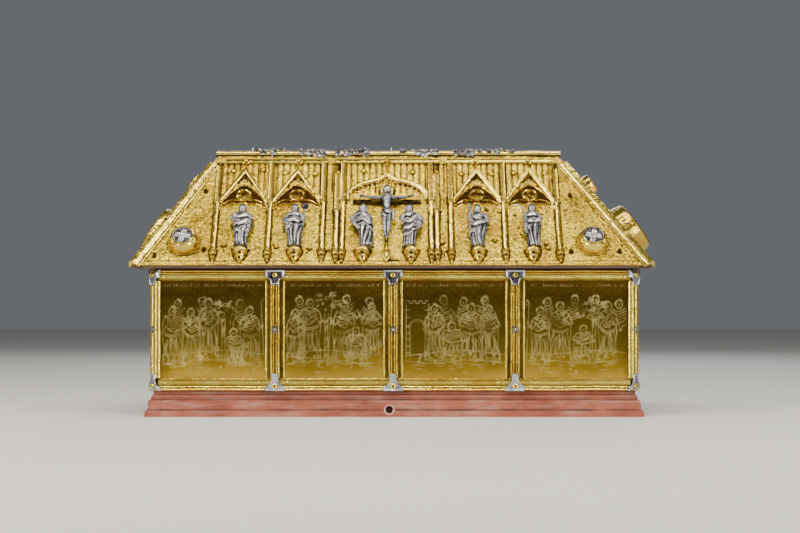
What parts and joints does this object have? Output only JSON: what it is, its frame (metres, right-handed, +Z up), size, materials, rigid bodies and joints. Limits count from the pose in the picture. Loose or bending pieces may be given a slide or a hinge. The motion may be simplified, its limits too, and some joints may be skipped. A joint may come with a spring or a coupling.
{
  "type": "reliquary casket",
  "caption": "Late medieval reliquary casket: oak chest with engraved gilt plates, moulded gilt posts and silver clasps, and a hipped lid with gabled arcades and silver figures.",
  "frame": {"origin": "middle of the plinth's underside", "axes": "+X along the casket's length to the right of someone who faces its front, +Y towards the back, +Z up"},
  "size_m": [0.8009, 0.2984, 0.4147],
  "materials": {
    "painted_wood": "worn terracotta pink paint",
    "oak": "bare aged oak",
    "gilt": "gilt copper, burnished and rubbed",
    "engraved_gilt": "gilt copper, engraved and darkened to olive",
    "silver": "cast silver with dark patina in its folds"
  },
  "bodies": {
    "root": {"plinth": "painted_wood", "casket_box": "oak", "lower_rail": "gilt", "upper_rail": "gilt", "plate_front_1": "engraved_gilt", "plate_front_2": "engraved_gilt", "plate_front_3": "engraved_gilt", "plate_front_4": "engraved_gilt", "plate_back_1": "engraved_gilt", "plate_back_2": "engraved_gilt", "plate_back_3": "engraved_gilt", "plate_back_4": "engraved_gilt", "plate_left": "engraved_gilt", "plate_right": "engraved_gilt", "post_front_1": "gilt", "post_front_2": "gilt", "post_front_3": "gilt", "post_back_1": "gilt", "post_back_2": "gilt", "post_back_3": "gilt", "corner_post_front_left": "gilt", "corner_post_front_right": "gilt", "corner_post_back_left": "gilt", "corner_post_back_right": "gilt", "lid_shell": "oak", "hip_strip_front_left": "gilt", "hip_strip_front_right": "gilt", "hip_strip_back_left": "gilt", "hip_strip_back_right": "gilt", "ridge_roll": "gilt", "ridge_cresting": "silver", "roof_plate_front": "gilt", "arcade_left": "gilt", "arcade_right": "gilt", "pier_left": "gilt", "pier_right": "gilt", "ogee_arch": "gilt", "console_1": "gilt", "console_2": "gilt", "console_3": "gilt", "console_4": "gilt", "console_5": "gilt", "console_6": "gilt", "figure_saint_1": "silver", "figure_saint_2": "silver", "figure_mourning_woman": "silver", "figure_mourning_man": "silver", "figure_saint_3": "silver", "figure_saint_4": "silver", "cross": "gilt", "figure_crucified": "silver", "boss_left": "gilt", "boss_right": "gilt", "roof_plate_back": "gilt", "roof_plate_left": "gilt", "roundel_left": "gilt", "small_roundel_left": "gilt", "roof_plate_right": "gilt", "roundel_right": "gilt", "small_roundel_right": "gilt"}
  },
  "joints": []
}
